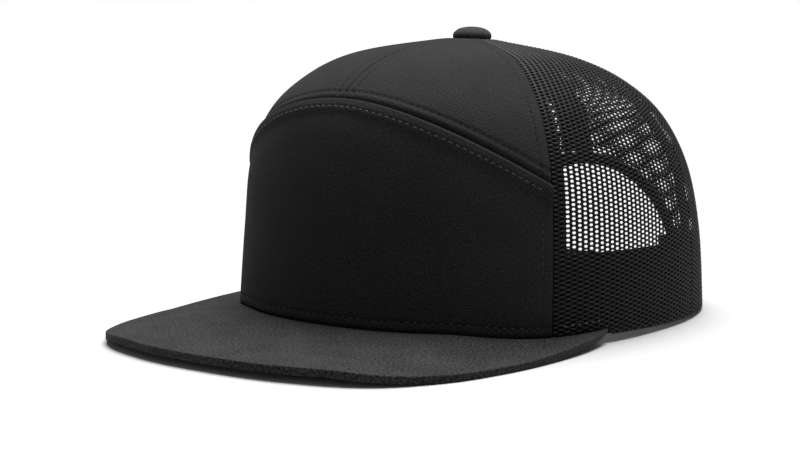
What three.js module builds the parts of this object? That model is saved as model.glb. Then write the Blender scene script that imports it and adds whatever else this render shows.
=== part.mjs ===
// Seven-panel cap with a flat peak: one front panel, two top panels and four net panels, with a
// sweatband, an arched rear opening and a size strap. The peak points to -Y, +X is the wearer's
// left, and the floor that the cap rests on is z = 0.

import * as THREE from "three";

// Driving dimensions, in millimetres and degrees.

// The crown, from its rim to the ring under the button. Each row is one level section: its height
// over the rim, its reach ahead of and behind its widest line, its half width, how far that line
// has moved towards the peak, and its squareness, which is 2 for an ellipse.
const CROWN_SECTIONS = [
  { height: 0.0, front: 100.5, side: 86.8, back: 101.0, lean: 0.0, squareness: 2.33 },
  { height: 33.0, front: 98.3, side: 85.8, back: 94.8, lean: 0.1, squareness: 2.32 },
  { height: 60.0, front: 99.0, side: 81.2, back: 87.4, lean: 0.5, squareness: 2.3 },
  { height: 80.5, front: 95.0, side: 70.4, back: 78.4, lean: 1.2, squareness: 2.27 },
  { height: 94.2, front: 80.5, side: 57.2, back: 60.0, lean: 2.2, squareness: 2.22 },
  { height: 102.9, front: 60.0, side: 42.5, back: 34.5, lean: 3.4, squareness: 2.16 },
  { height: 107.8, front: 33.0, side: 19.5, back: 16.5, lean: 5.0, squareness: 2.09 },
  { height: 109.3, front: 2.8, side: 2.8, back: 2.8, lean: 6.7, squareness: 2.0 },
];
const CROWN_PITCH = 1.55; // the crown leans back by this, because its front stands on the peak
const CROWN_LIFT = 2.4; // and this lifts it so that the back of the rim meets the floor

const WALL = 1.2; // cloth, net and sweatband
const SEAM_GAP = 0.3; // between two pieces that are sewn together
const FRONT_SEAM = 52.3; // angles from the middle of the front to the seams of the crown
const SIDE_SEAM = 111.3;

const ARCH_TOP = 86.7; // the front panel's arched edge, over the rim
const ARCH_FALL = 26.5;
const ARCH_SPREAD = 1.85;
const FOLD_RISE = 0.9; // how far its folded edge stands proud of the top panels
const FOLD_START = 0.86;

const PEAK_THICKNESS = 3.0;
const PEAK_EDGE_ROUNDING = 0.8;
const PEAK_CENTRE = -60; // the point on the middle line that the peak's outline is drawn about
const PEAK_OUTLINE = [
  { angle: 0, reach: 106.2 },
  { angle: 18, reach: 108.5 },
  { angle: 34, reach: 111.0 },
  { angle: 48, reach: 105.0 },
  { angle: 62, reach: 96.6 },
  { angle: 78, reach: 90.2 },
  { angle: 95, reach: 88.0 },
  { angle: 112, reach: 89.3 },
];
const PEAK_END = 106.5; // the angle about that point where the peak runs out under the rim
const PEAK_MIDDLE = 7.2; // height of the peak's top face where it meets the front of the crown
const PEAK_SLOPE = 0.02; // and its fall towards the tip
const PEAK_RESTING = 2.85; // height of its top face where its sides lie on the floor
const BEND_FROM = 45; // the peak is flat this far from the middle, and bends down to the floor here
const BEND_TO = 84;
const BEND_EASE_FROM = -90; // behind this line the bend eases off as the peak nears its ends
const BEND_EASE = 0.009;

const OPENING_HALF_WIDTH = 43.5; // the rear opening: upright sides, then half an ellipse
const OPENING_SPRING = 12;
const OPENING_TOP = 53.8;
const BINDING_WIDTH = 6;
const BINDING_PROUD = 0.5;
const BINDING_INSET = 1.7;

const SWEATBAND_TOP = 31.5;
const SWEATBAND_END_TOP = 26;
const SWEATBAND_END = 156; // angle at which it ends, beside the rear opening
const SWEATBAND_BOTTOM = 0.7;
const SWEATBAND_STEP_FROM = 132; // it steps in here to pass over the strap's ends
const SWEATBAND_STEP_TO = 143;
const SWEATBAND_STEP = 2.0;

const STRAP_HALF_LENGTH = 57;
const STRAP_BOTTOM = 0.8;
const STRAP_TOP = 13.5;
const STRAP_INSET = 2.0;

const TAPE_WIDTH = 11.5;
const BACK_TAPE_WIDTH = 14;
const TAPE_THICKNESS = 0.9;
const TAPE_GAP = 0.45; // clear of the faceted wall where the crown turns over
const TAPE_END_REACH = 15; // the tapes stop this far from the middle of the top

const BUTTON_PROFILE = [
  { radius: 0, height: 4.9 },
  { radius: 2.8, height: 4.7 },
  { radius: 5.6, height: 3.9 },
  { radius: 7.4, height: 2.5 },
  { radius: 7.9, height: 1.3 },
  { radius: 7.6, height: 0.4 },
  { radius: 6.6, height: 0.0 },
  { radius: 1.9, height: 0.0 },
  { radius: 1.9, height: -3.5 },
  { radius: 0, height: -3.5 },
];
const BUTTON_SIDES = 20;

const FRONT_COLUMNS = 12; // columns in half of the front panel, and in each top panel
const FRONT_ROWS = 10;
const TOP_ROWS = 11;
const NET_ROWS = 14;
const TAPE_ROWS = 15;
const PEAK_COLUMNS = 44;
const PEAK_RINGS = [0, 0.3, 0.55, 0.78, 0.92, 1];
const SWEATBAND_COLUMNS = 56;
const STRAP_COLUMNS = 16;
const ARCH_STEPS = 16;

const CLOTH = { color: 0x1d1d1e, roughness: 0.9, metalness: 0 };
const TOP_CLOTH = { color: 0x2a2a2b, roughness: 0.9, metalness: 0 };
const NET = { color: 0x19191a, roughness: 0.7, metalness: 0 };
const TAPE = { color: 0x161616, roughness: 0.85, metalness: 0 };
const PLASTIC = { color: 0x141415, roughness: 0.45, metalness: 0 };

const UP = new THREE.Vector3(0, 0, 1);
const ACROSS = new THREE.Vector3(1, 0, 0);
const NUDGE = 1e-4; // step for slopes taken from differences
const { clamp, degToRad, lerp, smoothstep } = THREE.MathUtils;

// Every column of the section table becomes a smooth curve over the rows.
const sectionCurves = {};
for (const column of ["front", "side", "back", "lean", "squareness"]) {
  const points = CROWN_SECTIONS.map((row) => new THREE.Vector2(row.height, row[column]));
  sectionCurves[column] = new THREE.SplineCurve(points);
}

// The crown's level section at a rise, which is 0 at the rim and 1 at the button's ring.
function sectionAt(rise) {
  const section = {};
  for (const [column, curve] of Object.entries(sectionCurves)) {
    const point = curve.getPoint(rise);
    section.height = point.x;
    section[column] = point.y;
  }
  return section;
}

// The outer face of the crown. The angle goes round from the front, 0, over +X, a right angle.
function crownSurface(angle, rise) {
  const section = sectionAt(rise);
  const reachAlong = Math.cos(angle) > 0 ? section.front : section.back;
  const across = Math.abs(Math.sin(angle)) / section.side;
  const along = Math.abs(Math.cos(angle)) / reachAlong;
  const power = section.squareness;
  const reach = (across ** power + along ** power) ** (-1 / power);
  const x = reach * Math.sin(angle);
  const y = -reach * Math.cos(angle) - section.lean;
  const point = new THREE.Vector3(x, y, section.height);
  return point.applyAxisAngle(ACROSS, -degToRad(CROWN_PITCH)).addScaledVector(UP, CROWN_LIFT);
}

// A point inside that face by an inset, or outside it by a negative one, and never under the floor.
function crownPoint(angle, rise, inset) {
  const along = crownSurface(angle + NUDGE, rise).sub(crownSurface(angle - NUDGE, rise));
  const above = crownSurface(angle, Math.min(rise + NUDGE, 1));
  const upward = above.sub(crownSurface(angle, Math.max(rise - NUDGE, 0)));
  const outward = along.cross(upward).normalize();
  const point = crownSurface(angle, rise).addScaledVector(outward, -inset);
  point.z = Math.max(point.z, 0);
  return point;
}

// The angle that a distance round the crown spans.
function angleSpan(angle, rise, distance) {
  const ahead = crownSurface(angle + NUDGE, rise);
  return (2 * NUDGE * distance) / ahead.distanceTo(crownSurface(angle - NUDGE, rise));
}

// The value between two limits where a growing measure passes zero.
function whereZero(measure, low, high) {
  for (let halving = 0; halving < 30; halving++) {
    const middle = (low + high) / 2;
    if (measure(middle) < 0) low = middle;
    else high = middle;
  }
  return (low + high) / 2;
}

const riseAtHeight = (height) => whereZero((rise) => sectionAt(rise).height - height, 0, 1);

// A closed solid between two like grids of points: its face and its back. Each station holds one
// line of either grid.
function wallSolid(stations) {
  const lines = stations.length;
  const perLine = stations[0].face.length;
  const positions = [];
  for (const station of stations) {
    for (const point of [...station.face, ...station.back]) positions.push(...point);
  }
  const faceAt = (line, step) => line * 2 * perLine + step;
  const backAt = (line, step) => faceAt(line, step) + perLine;
  const triangles = [];
  const quad = (a, b, c, d) => triangles.push(a, b, c, a, c, d);
  const last = perLine - 1;
  for (let line = 0; line < lines - 1; line++) {
    const next = line + 1;
    for (let step = 0; step < last; step++) {
      quad(faceAt(line, step), faceAt(next, step), faceAt(next, step + 1), faceAt(line, step + 1));
      quad(backAt(line, step), backAt(line, step + 1), backAt(next, step + 1), backAt(next, step));
    }
    quad(faceAt(line, 0), backAt(line, 0), backAt(next, 0), faceAt(next, 0));
    quad(faceAt(line, last), faceAt(next, last), backAt(next, last), backAt(line, last));
  }
  for (let step = 0; step < last; step++) {
    const end = lines - 1;
    quad(faceAt(0, step), faceAt(0, step + 1), backAt(0, step + 1), backAt(0, step));
    quad(faceAt(end, step), backAt(end, step), backAt(end, step + 1), faceAt(end, step + 1));
  }
  const geometry = new THREE.BufferGeometry();
  geometry.setAttribute("position", new THREE.Float32BufferAttribute(positions, 3));
  geometry.setIndex(triangles);
  geometry.computeVertexNormals();
  return geometry;
}

// A wall that follows the crown. A column holds an angle, a shift round the crown in millimetres,
// and the rises that it runs between. The insets of the wall's face may change along a column.
function crownWall(columns, rows, faceInset = () => 0, backInset = () => WALL) {
  const stations = columns.map((column) => {
    const station = { face: [], back: [] };
    for (let row = 0; row <= rows; row++) {
      const share = row / rows;
      const rise = lerp(column.bottom, column.top, share);
      const angle = column.angle + angleSpan(column.angle, rise, column.shift ?? 0);
      station.face.push(crownPoint(angle, rise, faceInset(share, column.angle)));
      station.back.push(crownPoint(angle, rise, backInset(share, column.angle)));
    }
    return station;
  });
  return wallSolid(stations);
}

// Columns at even angles, given in degrees, between two rises that follow the angle. The two
// outer columns keep half of the seam gap to the next panel.
function evenColumns(from, to, count, bottomAt, topAt) {
  const columns = [];
  for (let index = 0; index <= count; index++) {
    const angle = degToRad(lerp(from, to, index / count));
    columns.push({ angle, bottom: bottomAt(angle), top: topAt(angle) });
  }
  return columns;
}

function keepSeamGap(columns) {
  columns[0].shift = SEAM_GAP / 2;
  columns[columns.length - 1].shift = -SEAM_GAP / 2;
  return columns;
}

// The same columns on the other side of the middle.
function mirrored(columns) {
  const turned = columns.map((column) => ({
    ...column,
    angle: -column.angle,
    shift: -(column.shift ?? 0),
  }));
  return turned.reverse();
}

// The peak's top face: flat in the middle, and bent down at its sides until they lie on the floor.
function peakTop(x, y) {
  const middle = PEAK_MIDDLE + PEAK_SLOPE * (y + CROWN_SECTIONS[0].front);
  const bend = smoothstep(Math.abs(x), BEND_FROM, BEND_TO);
  const ease = clamp(1 - BEND_EASE * (y - BEND_EASE_FROM), 0, 1);
  return lerp(middle, PEAK_RESTING, bend * ease);
}

// The rise where the foot of the wall stands on the peak.
function seatRise(angle) {
  const clearance = (rise) => {
    const foot = crownSurface(angle, rise);
    return foot.z - peakTop(foot.x, foot.y) - SEAM_GAP;
  };
  return whereZero(clearance, 0, 0.2);
}

const outlineCurve = new THREE.SplineCurve([
  ...PEAK_OUTLINE.slice(1).reverse().map((row) => new THREE.Vector2(-row.angle, row.reach)),
  ...PEAK_OUTLINE.map((row) => new THREE.Vector2(row.angle, row.reach)),
]);

const peakReach = (bearing) =>
  outlineCurve.getPoint(whereZero((share) => outlineCurve.getPoint(share).x - bearing, 0, 1)).y;

// The bearing of a point from the peak's centre point, in degrees from the middle line.
const bearingOf = (point) => THREE.MathUtils.radToDeg(Math.atan2(point.x, PEAK_CENTRE - point.y));

// The angle round the crown whose foot is on that bearing.
const crownAngleAt = (bearing) =>
  whereZero((angle) => bearingOf(crownPoint(angle, 0, WALL)) - bearing, -Math.PI / 2, Math.PI / 2);

function makePeak() {
  const stations = [];
  for (let column = 0; column <= PEAK_COLUMNS; column++) {
    const bearing = lerp(PEAK_END, -PEAK_END, column / PEAK_COLUMNS);
    const foot = crownPoint(crownAngleAt(bearing), 0, WALL);
    const inner = Math.hypot(foot.x, foot.y - PEAK_CENTRE);
    const outer = peakReach(bearing);
    const point = (reach, drop) => {
      const x = reach * Math.sin(degToRad(bearing));
      const y = PEAK_CENTRE - reach * Math.cos(degToRad(bearing));
      return new THREE.Vector3(x, y, Math.max(peakTop(x, y) - drop, 0));
    };
    const rounding = Math.min(PEAK_EDGE_ROUNDING, (outer - inner) / 2);
    const station = { face: [], back: [] };
    for (const share of PEAK_RINGS) {
      const reach = lerp(inner, outer - rounding, share);
      station.face.push(point(reach, 0));
      station.back.push(point(reach, PEAK_THICKNESS));
    }
    station.face.push(point(outer, rounding));
    station.back.push(point(outer, PEAK_THICKNESS - rounding));
    stations.push(station);
  }
  return wallSolid(stations);
}

const archHeight = (angle) => ARCH_TOP - ARCH_FALL * (1 - Math.cos(ARCH_SPREAD * angle));
const archRise = (angle) => riseAtHeight(archHeight(angle));

function makeFrontPanel() {
  const columns = evenColumns(-FRONT_SEAM, FRONT_SEAM, 2 * FRONT_COLUMNS, seatRise, archRise);
  const fold = (share) => -FOLD_RISE * smoothstep(share, FOLD_START, 1);
  return crownWall(keepSeamGap(columns), FRONT_ROWS, fold);
}

function topPanelColumns() {
  const aboveArch = (angle) => riseAtHeight(archHeight(angle) + SEAM_GAP);
  return keepSeamGap(evenColumns(0, FRONT_SEAM, FRONT_COLUMNS, aboveArch, () => 1));
}

// The side panel stands on the peak as far as the peak goes, and then drops to the rim.
function sideNetColumns() {
  const top = () => 1;
  const peakEnd = THREE.MathUtils.radToDeg(crownAngleAt(PEAK_END));
  const pastEnd = 0.4;
  const dropped = 1.8;
  return keepSeamGap([
    ...evenColumns(FRONT_SEAM, peakEnd + pastEnd, 4, seatRise, top),
    ...evenColumns(peakEnd + dropped, SIDE_SEAM, 7, () => 0, top),
  ]);
}

// The edge of the rear opening on the +X side, moved out by a margin, from the rim to the middle.
function openingEdge(margin) {
  const halfWidth = OPENING_HALF_WIDTH + margin;
  const crest = OPENING_TOP + margin - OPENING_SPRING;
  const edge = [];
  const addPoint = (across, height) => {
    const rise = riseAtHeight(height);
    const offset = (angle) => across - crownSurface(angle, rise).x;
    edge.push({ angle: whereZero(offset, Math.PI / 2, Math.PI), rise });
  };
  addPoint(halfWidth, 0);
  for (let step = 0; step <= ARCH_STEPS / 2; step++) {
    const turn = (Math.PI * step) / ARCH_STEPS;
    addPoint(halfWidth * Math.cos(turn), OPENING_SPRING + crest * Math.sin(turn));
  }
  return edge;
}

function backNetColumns() {
  const edge = openingEdge(BINDING_WIDTH + SEAM_GAP);
  const side = THREE.MathUtils.radToDeg(edge[0].angle);
  const sideSlant = 0.5;
  return keepSeamGap([
    ...evenColumns(SIDE_SEAM, side - sideSlant, 6, () => 0, () => 1),
    ...edge.slice(1).map((point) => ({ angle: point.angle, bottom: point.rise, top: 1 })),
  ]);
}

// The binding folds round the edge of the net and follows the whole opening.
function makeOpeningBinding() {
  const edges = [openingEdge(0), openingEdge(BINDING_WIDTH)];
  const halfStations = edges[0].map((point, index) => [point, edges[1][index]]);
  const otherHalf = halfStations
    .slice(0, -1)
    .reverse()
    .map((pair) => pair.map((point) => ({ angle: 2 * Math.PI - point.angle, rise: point.rise })));
  const stations = [...halfStations, ...otherHalf].map((pair) => ({
    face: pair.map((point) => crownPoint(point.angle, point.rise, -BINDING_PROUD)),
    back: pair.map((point) => crownPoint(point.angle, point.rise, BINDING_INSET)),
  }));
  return wallSolid(stations);
}

function makeSweatband() {
  const bottom = riseAtHeight(SWEATBAND_BOTTOM);
  const stepFrom = degToRad(SWEATBAND_STEP_FROM);
  const stepShare = (angle) => smoothstep(Math.abs(angle), stepFrom, degToRad(SWEATBAND_STEP_TO));
  const fallShare = (angle) => smoothstep(Math.abs(angle), stepFrom, degToRad(SWEATBAND_END));
  const top = (angle) => riseAtHeight(lerp(SWEATBAND_TOP, SWEATBAND_END_TOP, fallShare(angle)));
  const columns = evenColumns(-SWEATBAND_END, SWEATBAND_END, SWEATBAND_COLUMNS, () => bottom, top);
  const face = (share, angle) => WALL + SEAM_GAP + SWEATBAND_STEP * stepShare(angle);
  return crownWall(columns, 2, face, (share, angle) => face(share, angle) + WALL);
}

function makeSnapStrap() {
  const foot = riseAtHeight(STRAP_BOTTOM);
  const offset = (angle) => STRAP_HALF_LENGTH - crownSurface(angle, foot).x;
  const end = THREE.MathUtils.radToDeg(whereZero(offset, Math.PI / 2, Math.PI));
  const top = riseAtHeight(STRAP_TOP);
  const columns = evenColumns(end, 360 - end, STRAP_COLUMNS, () => foot, () => top);
  return crownWall(columns, 1, () => STRAP_INSET, () => STRAP_INSET + WALL);
}

// A tape over the seam at an angle in degrees, from a height up to its end near the button.
function tapeColumns(seamAngle, bottomHeight, width = TAPE_WIDTH) {
  const angle = degToRad(seamAngle);
  const reachLeft = (rise) => {
    const point = crownSurface(angle, rise);
    const middle = crownSurface(0, 1);
    return TAPE_END_REACH - Math.hypot(point.x, point.y - middle.y);
  };
  const bottom = riseAtHeight(bottomHeight);
  const top = whereZero(reachLeft, 0.5, 1);
  const shares = [-0.5, -0.25, 0, 0.25, 0.5];
  return shares.map((share) => ({ angle, shift: share * width, bottom, top }));
}

function makeTape(columns) {
  const face = WALL + TAPE_GAP;
  return crownWall(columns, TAPE_ROWS, () => face, () => face + TAPE_THICKNESS);
}

function makeButton() {
  const points = BUTTON_PROFILE.map((row) => new THREE.Vector2(row.radius, row.height));
  const geometry = new THREE.LatheGeometry(points.reverse(), BUTTON_SIDES);
  return geometry.rotateX(Math.PI / 2);
}

const cap = new THREE.Group();

function add(name, geometry, finish) {
  const mesh = new THREE.Mesh(geometry, new THREE.MeshStandardMaterial(finish));
  mesh.name = name;
  cap.add(mesh);
  return mesh;
}

function addPair(name, columns, finish, make) {
  add(`${name}_left`, make(columns), finish);
  add(`${name}_right`, make(mirrored(columns)), finish);
}

add("front_panel", makeFrontPanel(), CLOTH);
addPair("top_panel", topPanelColumns(), TOP_CLOTH, (columns) => crownWall(columns, TOP_ROWS));
addPair("side_mesh", sideNetColumns(), NET, (columns) => crownWall(columns, NET_ROWS));
addPair("back_mesh", backNetColumns(), NET, (columns) => crownWall(columns, NET_ROWS));
add("peak", makePeak(), CLOTH);
add("sweatband", makeSweatband(), TAPE);
add("opening_binding", makeOpeningBinding(), TAPE);
add("snap_strap", makeSnapStrap(), PLASTIC);

const tapeBottom = SWEATBAND_TOP + SEAM_GAP;
addPair("front_seam_tape", tapeColumns(FRONT_SEAM, tapeBottom), TAPE, makeTape);
addPair("side_seam_tape", tapeColumns(SIDE_SEAM, tapeBottom), TAPE, makeTape);
const archCrest = OPENING_TOP + BINDING_WIDTH + SEAM_GAP;
add("back_seam_tape", makeTape(tapeColumns(180, archCrest, BACK_TAPE_WIDTH)), TAPE);

const button = add("button", makeButton(), TOP_CLOTH);
button.position.lerpVectors(crownSurface(0, 1), crownSurface(Math.PI, 1), 0.5).setX(0);
button.position.addScaledVector(UP, SEAM_GAP);
button.rotation.x = -degToRad(CROWN_PITCH);

// The origin is on the floor, under the middle of the whole cap.
const extent = new THREE.Box3().setFromObject(cap);
cap.position.y = -(extent.min.y + extent.max.y) / 2;
cap.updateMatrixWorld(true);

export default cap;
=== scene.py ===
import math

import bmesh
import bpy
import numpy as np
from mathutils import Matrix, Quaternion, Vector


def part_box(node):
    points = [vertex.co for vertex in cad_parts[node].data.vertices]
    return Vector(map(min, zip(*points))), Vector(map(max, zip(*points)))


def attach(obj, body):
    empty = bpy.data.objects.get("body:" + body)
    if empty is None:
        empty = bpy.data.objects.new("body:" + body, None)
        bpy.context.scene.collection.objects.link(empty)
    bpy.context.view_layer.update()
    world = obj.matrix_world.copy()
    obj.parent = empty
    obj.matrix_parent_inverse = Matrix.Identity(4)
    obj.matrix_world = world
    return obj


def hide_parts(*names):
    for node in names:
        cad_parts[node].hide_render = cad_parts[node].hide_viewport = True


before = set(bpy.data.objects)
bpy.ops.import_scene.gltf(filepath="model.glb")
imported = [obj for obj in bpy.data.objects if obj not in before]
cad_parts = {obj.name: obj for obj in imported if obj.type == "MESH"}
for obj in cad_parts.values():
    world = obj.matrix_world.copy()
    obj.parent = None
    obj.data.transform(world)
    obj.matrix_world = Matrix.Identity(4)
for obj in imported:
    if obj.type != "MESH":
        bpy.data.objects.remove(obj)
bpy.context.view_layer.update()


# The front panel is one tall piece of black cotton and polyester cloth with a stiff backing, cut
# with an arched top. Its top edge is turned under and stitched down over the two top panels, its
# sides are sewn to the net, and its foot is sewn to the peak.
# Sizes are in millimetres, and angles in degrees round the crown from its front over +X.
MM = 0.001
WALL = 1.2
SEAM_GAP = 0.3
FRONT_SEAM = 52.3
# The arched edge: its height over the rim in the middle, its fall, and how fast it falls.
ARCH_TOP = 86.7
ARCH_FALL = 26.5
ARCH_SPREAD = 1.85
# The fold along it: how far it stands proud, how round its edge is, and where it fades out.
FOLD_RISE = 1.5
FOLD_ROUND = 1.3
FOLD_FADE = 3.4
FOLD_DEPTH = 7.5
# The rows of stitches: how far each lies from its edge and from the cloth's face, its pitch, the
# length of a stitch and the thickness of the thread.
STITCH_FROM_FOLD = 3.9
STITCH_FROM_FOOT = 3.5
STITCH_FROM_SEAM = 4.5
FOLD_STITCH_OUT = 1.05
FOOT_STITCH_OUT = -0.22
SEAM_STITCH_OUT = -0.12
FOLD_PITCH = 2.9
FOOT_PITCH = 3.3
SEAM_PITCH = 3.0
FOLD_STITCH = 2.0
EDGE_STITCH = 1.6
THREAD = 0.38
# How deep and wide the stitches pull the cloth in, and how its edges roll away.
FOLD_GROOVE = 0.4
FOOT_GROOVE = 0.22
SEAM_GROOVE = 0.12
GROOVE_WIDTH = 0.55
EDGE_ROLL = 0.55
EDGE_ROLL_WIDTH = 1.0
FOOT_ROLL = 0.8
FOOT_ROLL_WIDTH = 1.6

# The crown from its rim to the ring under the button. Each row is one level section: its height
# over the rim, its reach ahead of and behind its widest line, its half width, how far that line
# has moved towards the peak, and its squareness, which is 2 for an ellipse.
HEIGHT, AHEAD, SIDE, BEHIND, LEAN, SQUARENESS = range(6)
CROWN_SECTIONS = np.array([
    (0.0, 100.5, 86.8, 101.0, 0.0, 2.33),
    (33.0, 98.3, 85.8, 94.8, 0.1, 2.32),
    (60.0, 99.0, 81.2, 87.4, 0.5, 2.3),
    (80.5, 95.0, 70.4, 78.4, 1.2, 2.27),
    (94.2, 80.5, 57.2, 60.0, 2.2, 2.22),
    (102.9, 60.0, 42.5, 34.5, 3.4, 2.16),
    (107.8, 33.0, 19.5, 16.5, 5.0, 2.09),
    (109.3, 2.8, 2.8, 2.8, 6.7, 2.0),
])
CROWN_PITCH = math.radians(1.55)
CROWN_LIFT = 2.4
# The sections' own zero lies this far behind the peak's tip, which the CAD frame places.
PEAK_TIP = 166.2
CROWN_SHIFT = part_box("peak")[0].y / MM + PEAK_TIP
GATHER_RISE = 0.7
GATHER_AT = 0.94
GATHER_SPREAD = 0.045
# The peak's top face under the foot of the panel: its height in the middle and at the sides, its
# slope, where it bends down, and how the bend eases off ahead of the crown.
PEAK_MIDDLE = 7.2
PEAK_SIDE = 2.85
PEAK_SLOPE = 0.02
PEAK_BEND_FROM = 45
PEAK_BEND_TO = 84
PEAK_EASE = 0.009
PEAK_EASE_FROM = -90
NUDGE = 1e-4
RISES = np.linspace(0, 1, 481)


def smooth_between(rows, places):
    """A smooth curve through the rows of a table, read at places along it."""
    last = len(rows) - 1
    start = np.minimum(places.astype(int), last - 1)
    before, here, after, beyond = (rows[np.clip(start + step, 0, last)] for step in (-1, 0, 1, 2))
    share = (places - start)[..., None]
    leaving = (after - before) / 2
    arriving = (beyond - here) / 2
    cubic = 2 * here - 2 * after + leaving + arriving
    square = 3 * after - 3 * here - 2 * leaving - arriving
    return ((cubic * share + square) * share + leaving) * share + here


def section_at(rise):
    """The crown's level section at a rise of 0 at the rim to 1 at the ring under the button."""
    return smooth_between(CROWN_SECTIONS, np.clip(rise, 0, 1) * (len(CROWN_SECTIONS) - 1))


def crown_surface(angle, rise):
    """The crown's outer face. The angle goes round from the front over +X."""
    angle, rise = np.broadcast_arrays(np.asarray(angle, float), np.asarray(rise, float))
    section = section_at(rise)
    reach_along = np.where(np.cos(angle) > 0, section[..., AHEAD], section[..., BEHIND])
    power = section[..., SQUARENESS]
    across = np.abs(np.sin(angle)) / section[..., SIDE]
    along = np.abs(np.cos(angle)) / reach_along
    reach = (across**power + along**power) ** (-1 / power)
    y = -reach * np.cos(angle) - section[..., LEAN]
    height = section[..., HEIGHT]
    tilted_y = y * math.cos(CROWN_PITCH) + height * math.sin(CROWN_PITCH)
    z = height * math.cos(CROWN_PITCH) - y * math.sin(CROWN_PITCH)
    return np.stack([reach * np.sin(angle), tilted_y + CROWN_SHIFT, z + CROWN_LIFT], -1)


def crown_normal(angle, rise):
    """The direction straight out of the crown's face."""
    angle, rise = np.broadcast_arrays(np.asarray(angle, float), np.asarray(rise, float))
    along = crown_surface(angle + NUDGE, rise) - crown_surface(angle - NUDGE, rise)
    above = crown_surface(angle, np.minimum(rise + NUDGE, 1))
    upward = above - crown_surface(angle, np.maximum(rise - NUDGE, 0))
    normal = np.cross(along, upward)
    return normal / np.linalg.norm(normal, axis=-1, keepdims=True)


def crown_point(angle, rise, out=0.0):
    """A point outside the crown's face by a distance, or inside it by a negative one. The cloth
    is gathered up a little round the button."""
    gathered = GATHER_RISE * np.exp(-((np.asarray(rise) - GATHER_AT) / GATHER_SPREAD) ** 2)
    out = np.asarray(out + gathered, float)[..., None]
    point = crown_surface(angle, rise) + crown_normal(angle, rise) * out
    point[..., 2] = np.maximum(point[..., 2], 0)
    return point


def angle_span(angle, rise, distance):
    """The angle that a distance round the crown spans."""
    ahead = crown_surface(angle + NUDGE, rise) - crown_surface(angle - NUDGE, rise)
    return 2 * NUDGE * distance / np.linalg.norm(ahead, axis=-1)


def path_lengths(points):
    """The length run along lines of points, from 0 at each line's start."""
    steps = np.linalg.norm(np.diff(points, axis=-2), axis=-1)
    start = np.zeros(steps.shape[:-1] + (1,))
    return np.concatenate([start, np.cumsum(steps, -1)], -1)


def rise_at_height(height):
    """The rise of a height over the rim."""
    return np.interp(height, section_at(RISES)[:, HEIGHT], RISES)


def rise_beyond(angle, rise, distance):
    """The rise that lies a distance further up the crown than another rise."""
    angle = np.atleast_1d(angle)
    rise = np.broadcast_to(rise, angle.shape)
    lengths = path_lengths(crown_surface(angle[:, None], RISES))
    start = [np.interp(r, RISES, line) for r, line in zip(rise, lengths)]
    return np.array([np.interp(s + distance, line, RISES) for s, line in zip(start, lengths)])


def smooth_share(value, low, high):
    """0 below a range, 1 above it and a smooth turn between."""
    share = np.clip((value - low) / (high - low), 0, 1)
    return share * share * (3 - 2 * share)


def peak_top(x, y):
    """Height of the peak's top face, flat in the middle and bent down at its sides."""
    ahead = y - CROWN_SHIFT
    middle = PEAK_MIDDLE + PEAK_SLOPE * (ahead + CROWN_SECTIONS[0, AHEAD])
    bend = smooth_share(np.abs(x), PEAK_BEND_FROM, PEAK_BEND_TO)
    ease = np.clip(1 - PEAK_EASE * (ahead - PEAK_EASE_FROM), 0, 1)
    return middle + (PEAK_SIDE - middle) * bend * ease


def seat_rise(angle):
    """The rise where the foot of the crown's wall stands on the peak."""
    tried = np.linspace(0, 0.2, 201)
    foot = crown_surface(np.atleast_1d(angle)[:, None], tried)
    clear = foot[..., 2] - peak_top(foot[..., 0], foot[..., 1]) - SEAM_GAP
    return np.array([np.interp(0, line, tried) for line in clear])


def arch_rise(angle):
    """The rise of the front panel's arched edge."""
    return rise_at_height(ARCH_TOP - ARCH_FALL * (1 - np.cos(ARCH_SPREAD * angle)))


def arch_slope(angle):
    """How much a distance down the crown shortens when it is taken square to the arch."""
    ahead = crown_surface(angle + NUDGE, arch_rise(angle + NUDGE))
    step = ahead - crown_surface(angle, arch_rise(angle))
    level = crown_surface(angle + NUDGE, arch_rise(angle)) - crown_surface(angle, arch_rise(angle))
    return np.linalg.norm(level, axis=-1) / np.linalg.norm(step, axis=-1)


def graded(length, fine, coarse, zone):
    """Shares of a length, with fine steps in a zone at either end and coarse ones between."""
    ends = np.arange(0, zone, fine)
    middle = np.arange(zone, length - zone, coarse)
    return np.concatenate([ends, middle, (length - ends)[::-1]]) / length


def add_piece(name, points, faces, cloth=None, weld=0.0):
    """Makes a piece from points in millimetres. cloth holds each point's place on the flat cloth."""
    mesh = bpy.data.meshes.new(name)
    mesh.from_pydata((points * MM).tolist(), [], faces.tolist() if hasattr(faces, "tolist") else faces)
    if cloth is not None:
        flat = mesh.attributes.new("cloth_mm", "FLOAT_VECTOR", "POINT")
        flat.data.foreach_set("vector", np.asarray(cloth, float).ravel())
    shape = bmesh.new()
    shape.from_mesh(mesh)
    if weld:
        bmesh.ops.remove_doubles(shape, verts=shape.verts, dist=weld * MM)
    if shape.calc_volume(signed=True) < 0:
        bmesh.ops.reverse_faces(shape, faces=shape.faces)
    shape.to_mesh(mesh)
    shape.free()
    mesh.shade_smooth()
    piece = bpy.data.objects.new(name, mesh)
    bpy.context.scene.collection.objects.link(piece)
    return piece


def grid_faces(rows, columns, start=0, around=False):
    """The quads of a grid of points, whose columns may close round."""
    index = start + np.arange(rows * columns).reshape(rows, columns)
    if around:
        index = np.concatenate([index, index[:, :1]], 1)
    quads = np.stack([index[:-1, :-1], index[1:, :-1], index[1:, 1:], index[:-1, 1:]], -1)
    return quads.reshape(-1, 4)


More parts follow.
